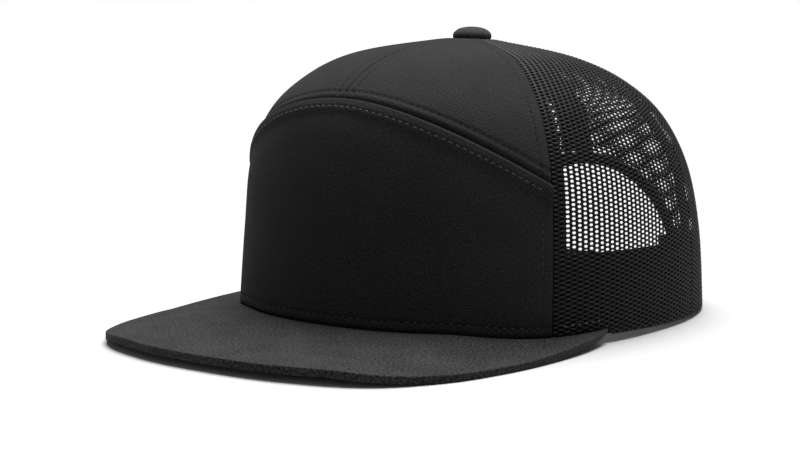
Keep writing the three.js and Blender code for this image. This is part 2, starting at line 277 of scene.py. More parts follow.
def cloth_solid(name, outer, inner, cloth):
    """A closed piece between two like grids of points."""
    lines, steps = outer.shape[:2]
    count = lines * steps
    index = np.arange(count).reshape(lines, steps)
    border = np.concatenate([index[0], index[1:, -1], index[-1, -2::-1], index[-2:0:-1, 0]])
    after = np.roll(border, -1)
    rim = np.stack([border, after, after + count, border + count], -1)
    faces = np.concatenate([
        grid_faces(lines, steps),
        grid_faces(lines, steps, count)[:, ::-1],
        rim[:, ::-1],
    ])
    points = np.concatenate([outer.reshape(-1, 3), inner.reshape(-1, 3)])
    flat = np.concatenate([cloth.reshape(-1, 3)] * 2)
    return add_piece(name, points, faces, flat)


def swept_solid(name, loops, cloth=None):
    """A closed piece along a row of closed outlines, with flat ends."""
    stations, steps = loops.shape[:2]
    sides = grid_faces(stations, steps, around=True).tolist()
    last = (stations - 1) * steps
    ends = [list(range(steps)), list(range(last + steps - 1, last - 1, -1))]
    flat = None if cloth is None else cloth.reshape(-1, 3)
    return add_piece(name, loops.reshape(-1, 3), sides + ends, flat)


def read_line(line, lengths, places):
    """What a line of points or directions has at places along its length."""
    return np.stack([np.interp(places, lengths, line[:, i]) for i in range(3)], -1)


def unit(directions):
    """Directions made one long."""
    return directions / np.linalg.norm(directions, axis=-1, keepdims=True)


STITCH_AIM = 0.3


def stitch_run(angles, rises, out, pitch):
    """The middle, direction and outward normal of each stitch in a row along the crown."""
    path = crown_point(angles, rises, out)
    lengths = path_lengths(path)
    places = np.arange(pitch, lengths[-1] - pitch, pitch)
    along = read_line(path, lengths, places + STITCH_AIM) - read_line(path, lengths, places - STITCH_AIM)
    outward = read_line(crown_normal(angles, rises), lengths, places)
    return read_line(path, lengths, places), unit(along), unit(outward)


# A stitch's shape: stations from its one end to the other, how full the thread is there, and how
# high its arc stands and how deep its ends dip, in shares of the thread's thickness.
STITCH_STATIONS = np.array([-1, -0.86, -0.5, 0, 0.5, 0.86, 1])
STITCH_GIRTH = np.array([0.45, 0.85, 1, 1, 1, 0.85, 0.45])
STITCH_SIDES = 6
STITCH_ARC = 0.2
STITCH_DIP = 0.75


def add_stitches(name, runs, length, thickness):
    """Rows of stitches in one piece: each is a short length of thread that dips in at both ends."""
    turn = np.arange(STITCH_SIDES) * 2 * math.pi / STITCH_SIDES
    points, faces = [], []
    per_stitch = len(STITCH_STATIONS) * STITCH_SIDES
    one = grid_faces(len(STITCH_STATIONS), STITCH_SIDES, around=True)
    total = 0
    for places, along, outward in runs:
        side = np.cross(along, outward)
        stations = STITCH_STATIONS[None, :, None, None]
        girth = (STITCH_GIRTH * thickness / 2)[None, :, None, None]
        height = thickness * (STITCH_ARC - STITCH_DIP * stations**4)
        ring_side = np.cos(turn)[None, None, :, None] * girth
        ring_out = np.sin(turn)[None, None, :, None] * girth + height
        grid = (
            places[:, None, None, :]
            + along[:, None, None, :] * stations * length / 2
            + side[:, None, None, :] * ring_side
            + outward[:, None, None, :] * ring_out
        )
        points.append(grid.reshape(-1, 3))
        for _ in range(len(places)):
            faces.append(one + total)
            total += per_stitch
    quads = np.concatenate(faces).tolist()
    first = np.arange(0, total, per_stitch)
    ring = np.arange(STITCH_SIDES)
    quads += (first[:, None] + ring[None, ::-1]).tolist()
    quads += (first[:, None] + per_stitch - STITCH_SIDES + ring[None, :]).tolist()
    return add_piece(name, np.concatenate(points), quads)


def linear(hex_colour):
    """The linear colour of an sRGB hex colour."""
    channels = [int(hex_colour[i:i + 2], 16) / 255 for i in (1, 3, 5)]
    return [c / 12.92 if c <= 0.04045 else ((c + 0.055) / 1.055) ** 2.4 for c in channels] + [1.0]


def new_material(name):
    """An empty material and its node tree."""
    material = bpy.data.materials.new(name)
    material.use_nodes = True
    material.node_tree.nodes.clear()
    return material, material.node_tree


def node(tree, kind, values=None, links=None, **settings):
    """Adds a node: its settings, its sockets' own values, and the sockets that feed it."""
    added = tree.nodes.new("ShaderNode" + kind)
    for setting, value in settings.items():
        setattr(added, setting, value)
    for socket, value in (values or {}).items():
        added.inputs[socket].default_value = value
    for socket, source in (links or {}).items():
        tree.links.new(source, added.inputs[socket])
    return added


THREAD_SWAY = 4.0
GRAIN_HEIGHT = 5.0
PATCH_SHARE = 0.2
TONE_MIDDLE = 0.6
TONE_REACH = 0.25


def woven_cloth(name, colour, pale, thread, depth, sheen=0.03, contrast=1.0):
    """Plain-woven matt cotton and polyester: a fine grid of uneven threads, pebbly to the eye, with
    a soft bloom of fibre ends. The threads, 0.35 mm apart, are under a pixel and drawn coarser."""
    material, tree = new_material(name)
    flat = node(tree, "Attribute", attribute_name="cloth_mm")
    axes = node(tree, "SeparateXYZ", links={0: flat.outputs["Vector"]})
    wander = node(tree, "TexNoise", {"Scale": 0.25 / thread, "Detail": 2.0},
                  {"Vector": flat.outputs["Vector"]})
    sway = node(tree, "Math", {1: THREAD_SWAY}, {0: wander.outputs[0]}, operation="MULTIPLY")
    waves = []
    for axis in (0, 1):
        phase = node(tree, "Math", {1: math.pi / thread}, {0: axes.outputs[axis], 2: sway.outputs[0]},
                     operation="MULTIPLY_ADD")
        waves.append(node(tree, "Math", links={0: phase.outputs[0]}, operation="SINE"))
    weave = node(tree, "Math", links={0: waves[0].outputs[0], 1: waves[1].outputs[0]},
                 operation="MULTIPLY")
    grain = node(tree, "TexNoise", {"Scale": 0.6 / thread, "Detail": 2.0, "Roughness": 0.6},
                 {"Vector": flat.outputs["Vector"]})
    patches = node(tree, "TexNoise", {"Scale": 0.06, "Detail": 2.0}, {"Vector": flat.outputs["Vector"]})
    height = node(tree, "Math", {1: GRAIN_HEIGHT}, {0: grain.outputs[0], 2: weave.outputs[0]},
                  operation="MULTIPLY_ADD")
    bump = node(tree, "Bump", {"Strength": 1.0, "Distance": depth * MM}, {"Height": height.outputs[0]})
    tone = node(tree, "Math", {1: PATCH_SHARE}, {0: patches.outputs[0], 2: grain.outputs[0]},
                operation="MULTIPLY_ADD")
    spread = node(tree, "MapRange", {
        "From Min": TONE_MIDDLE - TONE_REACH / contrast, "From Max": TONE_MIDDLE + TONE_REACH / contrast,
    }, {"Value": tone.outputs[0]})
    tint = node(tree, "Mix", {6: linear(colour), 7: linear(pale)}, {0: spread.outputs[0]},
                data_type="RGBA")
    cloth = node(tree, "BsdfPrincipled", {
        "Roughness": 0.9, "IOR": 1.5, "Specular IOR Level": 0.12,
        "Sheen Weight": sheen, "Sheen Roughness": 0.5, "Sheen Tint": linear("#d8d8da"),
    }, {"Base Color": tint.outputs[2], "Normal": bump.outputs[0]})
    node(tree, "OutputMaterial", links={"Surface": cloth.outputs[0]})
    return material


def sewing_thread(name, colour, shine):
    """Spun polyester sewing thread: a tight twist of fibres with a soft shine. The thread is black;
    a grey colour given to it is painted glint, so those stitches read paler than the cloth. Its
    twist, 0.5 mm a turn, is drawn 1 mm."""
    material, tree = new_material(name)
    place = node(tree, "TexCoord")
    twist = node(tree, "TexWave", {"Scale": 0.31 / MM, "Distortion": 1.5},
                 {"Vector": place.outputs["Object"]}, bands_direction="DIAGONAL")
    bump = node(tree, "Bump", {"Strength": 0.5, "Distance": 0.05 * MM}, {"Height": twist.outputs["Fac"]})
    thread = node(tree, "BsdfPrincipled", {
        "Base Color": linear(colour), "Roughness": 0.6, "IOR": 1.57, "Specular IOR Level": shine,
        "Sheen Weight": shine / 2, "Sheen Roughness": 0.4,
    }, {"Normal": bump.outputs[0]})
    node(tree, "OutputMaterial", links={"Surface": thread.outputs[0]})
    return material


FRONT_WIDTH = 190
FINE_STEP = 0.35
COARSE_STEP = 0.75
FINE_ZONE = 6.3
front_ways = graded(FRONT_WIDTH, FINE_STEP, COARSE_STEP, FINE_ZONE)
front_angles = np.radians(np.interp(front_ways, [0, 1], [-FRONT_SEAM, FRONT_SEAM]))
front_shares = np.concatenate([
    np.linspace(0, 0.075, 16), np.linspace(0.085, 0.88, 24), np.linspace(0.885, 1, 34),
])
foot = seat_rise(front_angles)
crest = arch_rise(front_angles)
rise = foot[:, None] + (crest - foot)[:, None] * front_shares[None, :]
edge_gap = np.zeros(len(front_angles))
edge_gap[[0, -1]] = SEAM_GAP / 2, -SEAM_GAP / 2
angle = front_angles[:, None] + angle_span(front_angles[:, None], rise, edge_gap[:, None])
up = path_lengths(crown_surface(angle, rise))
round_way = path_lengths(np.swapaxes(crown_surface(angle, rise), 0, 1)).T
from_fold = (up[:, -1:] - up) * arch_slope(front_angles)[:, None]
from_seam = np.minimum(round_way, round_way[-1:] - round_way)


def groove(distance, at, depth, width=GROOVE_WIDTH):
    """The line that a row of stitches pulls into cloth."""
    return -depth * np.exp(-((distance - at) / width) ** 2)


def rolled(distance, depth=EDGE_ROLL, width=EDGE_ROLL_WIDTH):
    """How an edge rounds away."""
    return -depth * (1 - np.sqrt(1 - (1 - np.clip(distance / width, 0, 1)) ** 2))


def dimples(along, pitch):
    """The pull of each stitch along its row, from 0.4 to 1."""
    return 0.7 + 0.3 * np.cos(2 * math.pi * along / pitch)


fold_relief = FOLD_RISE * np.sqrt(1 - (1 - np.clip(from_fold / FOLD_ROUND, 0, 1)) ** 2)
fold_relief *= 1 - smooth_share(from_fold, FOLD_FADE, FOLD_DEPTH)
relief = (
    fold_relief
    + groove(from_fold, STITCH_FROM_FOLD, FOLD_GROOVE) * dimples(round_way, FOLD_PITCH)
    + groove(up, STITCH_FROM_FOOT, FOOT_GROOVE) * dimples(round_way, FOOT_PITCH)
    + groove(from_seam, STITCH_FROM_SEAM, SEAM_GROOVE)
    + rolled(up, FOOT_ROLL, FOOT_ROLL_WIDTH)
    + rolled(from_seam)
)
front_flat = np.stack([round_way - round_way[-1:] / 2, up, np.zeros_like(up)], -1)
front_cloth = woven_cloth("front_plain_weave_cotton_polyester", "#101010", "#212121", 0.5, 0.07,
                          sheen=0.012, contrast=1.2)
front = cloth_solid("front_panel_cloth", crown_point(angle, rise, relief),
                    crown_point(angle, rise, -WALL), front_flat)
front.data.materials.append(front_cloth)
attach(front, "root")
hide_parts("front_panel")


def rise_under_fold(angles, distance):
    """The rises that lie a distance inside the panel's arched edge."""
    rises = []
    for angle, crest, slope in zip(angles, arch_rise(angles), arch_slope(angles)):
        tried = RISES * crest
        lengths = path_lengths(crown_surface(angle, tried))
        rises.append(np.interp(lengths[-1] - distance / slope, lengths, tried))
    return np.array(rises)


# All the thread is black. The grey and the dark grey colours are painted glint, as painted highlight; only
# the top panels' rows and the binding keep the black.
glint_painted_thread = sewing_thread("polyester_thread_painted_glint", "#444444", 0.35)
half_glint_painted_thread = sewing_thread("polyester_thread_painted_half_glint", "#303030", 0.1)
black_thread = sewing_thread("black_polyester_thread", "#0e0e0e", 0.05)
sewn = np.radians(np.linspace(-FRONT_SEAM + 0.6, FRONT_SEAM - 0.6, 400))
fold_row = rise_under_fold(sewn, STITCH_FROM_FOLD)
foot_row = rise_beyond(sewn, seat_rise(sewn), STITCH_FROM_FOOT)
front_stitches = add_stitches("front_panel_stitching", [
    stitch_run(sewn, fold_row, FOLD_STITCH_OUT, FOLD_PITCH),
], FOLD_STITCH, THREAD)
front_stitches.data.materials.append(glint_painted_thread)
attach(front_stitches, "root")
seam_angle = math.radians(FRONT_SEAM)
seam_rises = np.linspace(seat_rise(seam_angle)[0] + 0.09, arch_rise(seam_angle) - 0.06, 300)
seam_row = seam_angle - angle_span(seam_angle, seam_rises, STITCH_FROM_SEAM)
edge_stitches = add_stitches("front_panel_edge_stitching", [
    stitch_run(sewn, foot_row, FOOT_STITCH_OUT, FOOT_PITCH),
    stitch_run(seam_row, seam_rises, SEAM_STITCH_OUT, SEAM_PITCH),
    stitch_run(-seam_row, seam_rises, SEAM_STITCH_OUT, SEAM_PITCH),
], EDGE_STITCH, THREAD)
edge_stitches.data.materials.append(half_glint_painted_thread)
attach(edge_stitches, "root")


# The two top panels are of the same cloth without backing. They meet in a seam over the middle of
# the head, opened out and stitched down on both sides, and run on under the front panel's fold.
TOP_WIDTH = 95
TOP_STEP = 0.8
TOP_CLOTH = 0.28
TUCKED_UNDER = 1.8
CENTRE_GAP = 0.04
# The crease where the panels go under the fold: its depth, its width and how far under it starts.
CREASE_DEPTH = 1.35
CREASE_WIDTH = 2.7
CREASE_START = -0.3
# The rows of stitches: how far each lies from its edge, and the depth and width of its groove.
STITCH_FROM_CENTRE = 3.6
STITCH_FROM_ARCH = 4.6
CENTRE_GROOVE = (0.5, 0.6)
SIDE_GROOVE = (0.36, 0.6)
ARCH_GROOVE = (0.6, 0.7)
CENTRE_ROLL = 0.8
CENTRE_ROLL_WIDTH = 1.1
CENTRE_STITCH_OUT = -0.45
SIDE_STITCH_OUT = -0.32
TOP_PITCH = 2.4
TOP_STITCH = 1.7
FINE_THREAD = 0.36
# Near the button the grooves fade, where a panel is less than the second width wide.
GROOVE_FADE = (6, 14)
top_cloth = woven_cloth("top_plain_weave_cotton_polyester", "#111111", "#242424", 0.5, 0.07,
                        sheen=0.018, contrast=1.2)
for side_name, side in (("left", 1), ("right", -1)):
    top_ways = graded(TOP_WIDTH, FINE_STEP, TOP_STEP, FINE_ZONE)
    top_angles = np.radians(top_ways * FRONT_SEAM)
    top_shares = np.concatenate([np.linspace(0, 0.17, 26), np.linspace(0.18, 1, 60)])
    start = rise_beyond(top_angles, arch_rise(top_angles), -TUCKED_UNDER)
    rise = start[:, None] + (1 - start)[:, None] * top_shares[None, :]
    edge_gap = np.zeros(len(top_angles))
    edge_gap[[0, -1]] = CENTRE_GAP, -SEAM_GAP / 2
    angle = top_angles[:, None] + angle_span(top_angles[:, None], rise, edge_gap[:, None])
    up = path_lengths(crown_surface(angle, rise))
    round_way = path_lengths(np.swapaxes(crown_surface(angle, rise), 0, 1)).T
    from_arch = (up - TUCKED_UNDER) * arch_slope(top_angles)[:, None]
    from_side = round_way[-1:] - round_way
    below_ring = smooth_share(round_way[-1:], *GROOVE_FADE)
    relief = (
        groove(round_way, STITCH_FROM_CENTRE, *CENTRE_GROOVE) * dimples(up, TOP_PITCH) * below_ring
        + groove(from_side, STITCH_FROM_SEAM, *SIDE_GROOVE) * dimples(up, TOP_PITCH) * below_ring
        + groove(from_arch, STITCH_FROM_ARCH, *ARCH_GROOVE) * dimples(round_way, FOLD_PITCH)
        + rolled(round_way, CENTRE_ROLL, CENTRE_ROLL_WIDTH)
        + rolled(from_side)
        + CREASE_DEPTH * (smooth_share(from_arch, CREASE_START, CREASE_WIDTH) - 1)
    )
    top_flat = np.stack([round_way, up, np.zeros_like(up)], -1)
    inner_face = np.minimum(relief - TOP_CLOTH, -WALL)
    top = cloth_solid("top_panel_cloth_" + side_name, crown_point(angle * side, rise, relief),
                      crown_point(angle * side, rise, inner_face), top_flat)
    top.data.materials.append(top_cloth)
    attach(top, "root")
    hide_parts("top_panel_" + side_name)
    centre_rises = np.linspace(arch_rise(0.05) + 0.02, 0.955, 300)
    side_rises = np.linspace(arch_rise(seam_angle) + 0.02, 0.93, 300)
    near_seam = seam_angle - angle_span(seam_angle, side_rises, STITCH_FROM_SEAM)
    near_centre = angle_span(0.0, centre_rises, STITCH_FROM_CENTRE)
    top_stitches = add_stitches("top_panel_stitching_" + side_name, [
        stitch_run(side * near_centre, centre_rises, CENTRE_STITCH_OUT, TOP_PITCH),
        stitch_run(side * near_seam, side_rises, SIDE_STITCH_OUT, TOP_PITCH),
    ], TOP_STITCH, FINE_THREAD)
    top_stitches.data.materials.append(black_thread)
    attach(top_stitches, "root")


# The side and back panels are warp-knitted polyester net: columns of wide hexagonal holes, each
# column half a hole higher than the last, held open by stiff heat-set yarn. The columns run up the
# panel beside its front seam, and the narrowing top of the panel cuts them off.
SIDE_SEAM = 111.3
# The knit: the pitch of its columns and of the holes in one, the size of a hole and how square it
# is (2 is an ellipse), where the first column lies, and how far the yarn stands up and lies in.
NET_COLUMN = 2.8
NET_HOLE = 1.755
HOLE_WIDTH = 1.54
HOLE_HEIGHT = 1.0
HOLE_SQUARENESS = 2.7
FIRST_COLUMN = 0.35
STRAND_RISE = 0.26
BRIDGE_RISE = 0.46
NET_INSET = 0.55
CUT_EDGE_YARN = 0.35
NET_TOP = 0.9995
MILLIMETRES_UP = 120
CHART_STEP = 0.7
# The rear opening: its half width, the height where its arch starts, and its top.
OPENING_HALF_WIDTH = 43.5
OPENING_SPRING = 12
OPENING_TOP = 53.8
BINDING_WIDTH = 6
PEAK_END_ANGLE = math.radians(69.6)
NET_STITCH = 1.0
NET_THREAD = 0.42


def opening_edge(margin, steps=24):
    """The edge of the rear opening on the +X side, moved out by a margin: angles and rises."""
    turn = np.linspace(0, math.pi / 2, steps)
    across = np.concatenate([[1.0], np.cos(turn)]) * (OPENING_HALF_WIDTH + margin)
    crest_height = OPENING_TOP + margin - OPENING_SPRING
    heights = np.concatenate([[0.0], OPENING_SPRING + crest_height * np.sin(turn)])
    rises = rise_at_height(heights)
    tried = np.linspace(math.pi / 2, math.pi, 721)
    angles = []
    for distance, one_rise in zip(across, rises):
        reached = crown_surface(tried, one_rise)[:, 0]
        angles.append(np.interp(-distance, -reached, tried))
    return np.array(angles), rises


def net_chart(from_angle, to_angle):
    """Where flat net comes to lie on the crown: tables of angle and rise by distance from the
    seam and distance up from the rim."""
    angles = np.linspace(from_angle, to_angle, 221)
    rises = np.linspace(0, 1, 241)
    across = path_lengths(np.swapaxes(crown_surface(angles[:, None], rises), 0, 1))
    distances = np.arange(0, across[:, -1].max() + 3 * NET_COLUMN, CHART_STEP)
    angle_of = np.stack([np.interp(distances, line, angles) for line in across], 1)
    up = path_lengths(crown_surface(angle_of, rises[None, :]))
    heights = np.arange(0, up.max() + CHART_STEP, CHART_STEP)
    rise_table = np.stack([np.interp(heights, line, rises) for line in up])
    angle_table = np.stack([
        np.interp(line, rises, row) for line, row in zip(rise_table, angle_of)
    ])
    return rise_table, angle_table, rises, across[:, -1]


def read_chart(table, across, up):
    """The value of a chart's table at places between its steps."""
    column = np.clip(across / CHART_STEP, 0, table.shape[0] - 1.001)
    row = np.clip(up / CHART_STEP, 0, table.shape[1] - 1.001)
    i, j = column.astype(int), row.astype(int)
    u, v = column - i, row - j
    low = table[i, j] * (1 - u) + table[i + 1, j] * u
    high = table[i, j + 1] * (1 - u) + table[i + 1, j + 1] * u
    return low * (1 - v) + high * v


# A cell of the net is a hexagon round one hole, with a corner and the middle of a side in turn.
corner_top = (NET_COLUMN**2 - NET_HOLE**2 / 4) / (2 * NET_COLUMN)
corner_side = (NET_COLUMN**2 + NET_HOLE**2 / 4) / (2 * NET_COLUMN)
corners = np.array([(corner_side, 0), (corner_top, 1), (-corner_top, 1),
                    (-corner_side, 0), (-corner_top, -1), (corner_top, -1)]) * [1, NET_HOLE / 2]
next_corners = np.roll(corners, -1, axis=0)
cell_outline = np.stack([corners, (corners + next_corners) / 2], 1).reshape(-1, 2)
turn = np.arctan2(cell_outline[:, 1] / HOLE_HEIGHT, cell_outline[:, 0] / HOLE_WIDTH)
stretch = (np.abs(np.cos(turn)) ** HOLE_SQUARENESS + np.abs(np.sin(turn)) ** HOLE_SQUARENESS)
stretch = stretch ** (-1 / HOLE_SQUARENESS)
hole_outline = np.stack([
    np.cos(turn) * HOLE_WIDTH / 2 * stretch, np.sin(turn) * HOLE_HEIGHT / 2 * stretch,
], -1)
# Bridges, which close the holes above and below, stand higher than the strands between columns.
on_bridge = corners[:, 1] == next_corners[:, 1]
bridge_share = np.stack([on_bridge * 0.0, on_bridge * 1.0], 1).ravel()
yarn_rise = STRAND_RISE + (BRIDGE_RISE - STRAND_RISE) * bridge_share
# The yarn's cross-section from the middle of a strand's face, over the hole's edge, to its back:
# the share of the way to the hole, and the height over the strand's middle.
YARN_SECTION = ((0.0, 1.0), (0.62, 0.72), (1.0, 0.0), (0.0, -1.0))


def knitted_net(name, chart, bottom_of, seam_start, seam_end, side):
    """One panel of net: a ring of yarn round every hole, welded into one mesh."""
    rise_table, angle_table, chart_rises, chart_widths = chart
    columns = int(chart_widths.max() / NET_COLUMN) + 2
    rows = int(rise_table.shape[1] * CHART_STEP / NET_HOLE) + 2
    column, row = np.meshgrid(np.arange(columns), np.arange(-1, rows), indexing="ij")
    centre_x = (column + FIRST_COLUMN) * NET_COLUMN
    centre_y = (row + 0.5 * (column % 2)) * NET_HOLE
    rise = read_chart(rise_table, centre_x, centre_y)
    angle = read_chart(angle_table, centre_x, centre_y)
    width = np.interp(rise, chart_rises, chart_widths)
    cut_off = np.maximum(bottom_of(angle) - rise, 0) * MILLIMETRES_UP
    inside = (centre_x < width + NET_COLUMN / 2) & (rise < NET_TOP) & (cut_off < NET_HOLE / 2)
    inside &= (centre_y > -NET_HOLE / 2) & (width > NET_COLUMN * 0.5)
    centres = np.stack([centre_x[inside], centre_y[inside]], -1)
    flats, heights, margins = [], [], []
    for share, height in YARN_SECTION:
        ring = cell_outline + (hole_outline - cell_outline) * share
        flats.append(centres[:, None, :] + ring[None])
        heights.append(np.broadcast_to(height * yarn_rise, flats[-1].shape[:2]))
        margins.append(np.full(flats[-1].shape[:2], share * CUT_EDGE_YARN))
    flat = np.stack(flats, 1)
    height = np.stack(heights, 1)
    margin = np.stack(margins, 1)
    # The bridge share also goes to the yarn's colour, where it paints the bridges paler as painted
    # highlight.
    painted_bridge_highlight = np.broadcast_to(bridge_share, height.shape)
    rise = read_chart(rise_table, flat[..., 0], np.maximum(flat[..., 1], 0))
    angle = read_chart(angle_table, flat[..., 0], np.maximum(flat[..., 1], 0))
    span = angle_span(angle, rise, 1.0)
    low_angle = seam_start + span * (SEAM_GAP / 2 + margin)
    high_angle = seam_end - span * (SEAM_GAP / 2 + margin)
    low_rise = bottom_of(angle) + margin / MILLIMETRES_UP
    beyond = (angle <= low_angle) | (angle >= high_angle) | (rise <= low_rise) | (flat[..., 1] <= 0)
    angle = np.clip(angle, low_angle, np.maximum(high_angle, low_angle))
    rise = np.clip(np.maximum(rise, low_rise), 0, 1)
    height = np.where(beyond, 0.0, height)
    points = crown_point(angle * side, rise, height - NET_INSET)
    cells, rings, steps = flat.shape[:3]
    one = grid_faces(rings, steps, around=True)
    faces = (one[None] + (np.arange(cells) * rings * steps)[:, None, None]).reshape(-1, 4)
    cloth = np.concatenate([flat, painted_bridge_highlight[..., None]], -1)
    return add_piece(name, points.reshape(-1, 3), faces, cloth.reshape(-1, 3), weld=0.02)


def knitted_yarn(name, colour, pale):
    """Textured polyester yarn, knitted and heat-set: smooth filaments with a low shine. The bridges
    are painted paler and the strands darker, as painted light: the crosswise loops catch the light
    from above and the strands lie in shade. A loop is 0.6 mm long."""
    material, tree = new_material(name)
    flat = node(tree, "Attribute", attribute_name="cloth_mm")
    loops = node(tree, "TexWave", {"Scale": 0.314 / 0.6, "Distortion": 2.5, "Detail": 1.0},
                 {"Vector": flat.outputs["Vector"]}, bands_direction="DIAGONAL")
    axes = node(tree, "SeparateXYZ", links={0: flat.outputs["Vector"]})
    # Painted light: the strands get the dark colour as painted shade, and the bridges get the pale one as
    # painted highlight.
    tint = node(tree, "Mix", {6: linear(colour), 7: linear(pale)}, {0: axes.outputs["Z"]},
                data_type="RGBA")
    bump = node(tree, "Bump", {"Strength": 0.7, "Distance": 0.06 * MM}, {"Height": loops.outputs["Fac"]})
    yarn = node(tree, "BsdfPrincipled", {
        "Roughness": 0.55, "IOR": 1.57, "Specular IOR Level": 0.1,
    }, {"Base Color": tint.outputs[2], "Normal": bump.outputs[0]})
    node(tree, "OutputMaterial", links={"Surface": yarn.outputs[0]})
    return material


# The yarn is one black. #040404 on the strands is painted shade, and #2c2c2d on the bridges is painted
# highlight.
net_yarn = knitted_yarn("heat_set_polyester_net_yarn", "#040404", "#2c2c2d")
side_chart = net_chart(math.radians(FRONT_SEAM), math.radians(SIDE_SEAM))
back_chart = net_chart(math.radians(SIDE_SEAM), math.pi)
seat_angles = np.radians(np.linspace(FRONT_SEAM, SIDE_SEAM, 120))
seat_line = seat_rise(seat_angles)
binding_angles, binding_rises = opening_edge(BINDING_WIDTH + SEAM_GAP)


def side_bottom(angle):
    """The lower edge of the side net: on the peak, and past its end the rim."""
    on_peak = np.interp(angle, seat_angles, seat_line)
    return np.where(angle < PEAK_END_ANGLE, on_peak, 0.0)


def back_bottom(angle):
    """The lower edge of the back net: the rim, and over the rear opening its binding."""
    return np.interp(angle, binding_angles, binding_rises, left=0.0)


for side_name, side in (("left", 1), ("right", -1)):
    for panel, chart, bottom_of, seam_start, seam_end in (
        ("side", side_chart, side_bottom, math.radians(FRONT_SEAM), math.radians(SIDE_SEAM)),
        ("back", back_chart, back_bottom, math.radians(SIDE_SEAM), math.pi),
    ):
        net = knitted_net(panel + "_net_" + side_name, chart, bottom_of, seam_start, seam_end, side)
        net.data.materials.append(net_yarn)
        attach(net, "root")
        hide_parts(panel + "_mesh_" + side_name)


side_sewn = np.radians(np.linspace(FRONT_SEAM + 1.2, math.degrees(PEAK_END_ANGLE) - 0.8, 120))
side_row = rise_beyond(side_sewn, seat_rise(side_sewn), STITCH_FROM_FOOT)
net_stitches = add_stitches("side_net_foot_stitching", [
    stitch_run(side * side_sewn, side_row, 0.0, FOOT_PITCH) for side in (1, -1)
], NET_STITCH, NET_THREAD)
net_stitches.data.materials.append(glint_painted_thread)
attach(net_stitches, "root")


# The seams between the panels are covered inside by folded twill tape, stitched down along both
# edges. It shows through the net as a dark band.
TAPE_WIDTH = 11.5
BACK_TAPE_WIDTH = 16
BACK_TAPE_SHIFT = 4
TAPE_THICKNESS = 0.9
TAPE_ROUNDING = 0.3
TAPE_GAP = 0.45
TAPE_END_REACH = 15
SWEATBAND_TOP = 31.5
twill = woven_cloth("black_cotton_twill_tape", "#131313", "#1c1c1c", 0.6, 0.06)


def rounded_section(width, thickness, rounding, steps=4):
    """The outline of a flat strip with rounded edges, as (across, out) pairs."""
    outline = []
    for corner_x, corner_y, start in ((1, 1, 0), (-1, 1, 90), (-1, -1, 180), (1, -1, 270)):
        for step in range(steps + 1):
            turn = math.radians(start + 90 * step / steps)
            x = corner_x * (width / 2 - rounding) + rounding * math.cos(turn)
            y = corner_y * (thickness / 2 - rounding) + rounding * math.sin(turn)
            outline.append((x, y))
    return np.array(outline)


def add_tape(name, seam_angle, bottom_height, side, width=TAPE_WIDTH, shift=0.0):
    """A tape over one seam, from a height up to its end near the button."""
    seam = math.radians(seam_angle)
    line = crown_surface(seam, RISES)
    reach = np.hypot(line[:, 0], line[:, 1] - crown_surface(0.0, 1.0)[1])
    upper = RISES >= 0.5
    top_rise = np.interp(-TAPE_END_REACH, -reach[upper], RISES[upper])
    rises = np.linspace(rise_at_height(bottom_height), top_rise, 70)
    outline = rounded_section(width, TAPE_THICKNESS, TAPE_ROUNDING)
    span = angle_span(seam, rises, 1.0)
    angles = seam + span[:, None] * (outline[None, :, 0] + shift)
    out = outline[None, :, 1] - WALL - TAPE_GAP - TAPE_THICKNESS / 2
    loops = crown_point(side * angles, rises[:, None], np.broadcast_to(out, angles.shape))
    up = path_lengths(crown_surface(seam, rises))
    cloth = np.stack(np.broadcast_arrays(outline[None, :, 0], up[:, None], out), -1)
    tape = swept_solid(name, loops, cloth)
    tape.data.materials.append(twill)
    return tape


for side_name, side in (("left", 1), ("right", -1)):
    for seam_name, seam_angle in (("front", FRONT_SEAM), ("side", SIDE_SEAM)):
        tape = add_tape(seam_name + "_tape_" + side_name, seam_angle, SWEATBAND_TOP + SEAM_GAP, side)
        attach(tape, "root")
        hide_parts(seam_name + "_seam_tape_" + side_name)
back_tape = add_tape("back_tape", 180, OPENING_TOP + BINDING_WIDTH + SEAM_GAP, 1,
                     BACK_TAPE_WIDTH, BACK_TAPE_SHIFT)
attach(back_tape, "root")
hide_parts("back_seam_tape")


# The button is a pressed metal cap covered with the crown's cloth, drawn smooth over its dome and
# gathered under its edge. Its shank goes through the ring where the panels meet.
DOME_PROFILE = np.array([(0.0, 4.9), (2.8, 4.7), (5.6, 3.9), (7.4, 2.5), (7.9, 1.1), (7.6, 0.0),
                         (6.4, -0.5)])
DOME_STEPS = 40
SHANK_RADIUS = 1.9
SHANK_END = -3.5
TIP_RADIUS = 0.01
BUTTON_SIDES = 64
GATHERS = 16
GATHER_DEPTH = 0.012
GATHERS_FROM = (1.4, 0.2)
dome_lengths = path_lengths(DOME_PROFILE)
dome_places = np.interp(np.linspace(0, dome_lengths[-1], DOME_STEPS), dome_lengths,
                        np.arange(len(DOME_PROFILE)))
button_profile = np.concatenate([
    smooth_between(DOME_PROFILE, dome_places),
    [(SHANK_RADIUS, 0.0), (SHANK_RADIUS, SHANK_END), (TIP_RADIUS, SHANK_END)],
])
button_profile[0, 0] = TIP_RADIUS
radii, levels = button_profile[:, 0, None], button_profile[:, 1, None]
turn = np.arange(BUTTON_SIDES) * 2 * math.pi / BUTTON_SIDES
gathered = smooth_share(-levels, -GATHERS_FROM[0], -GATHERS_FROM[1]) * (1 + np.cos(turn * GATHERS))
x = radii * (1 - GATHER_DEPTH * gathered) * np.cos(turn)
y = radii * (1 - GATHER_DEPTH * gathered) * np.sin(turn)
z = np.broadcast_to(levels, x.shape)
ring_centre = (crown_surface(0.0, 1.0) + crown_surface(math.pi, 1.0)) / 2
tilted = np.stack([x, y * math.cos(CROWN_PITCH) + z * math.sin(CROWN_PITCH),
                   z * math.cos(CROWN_PITCH) - y * math.sin(CROWN_PITCH)], -1)
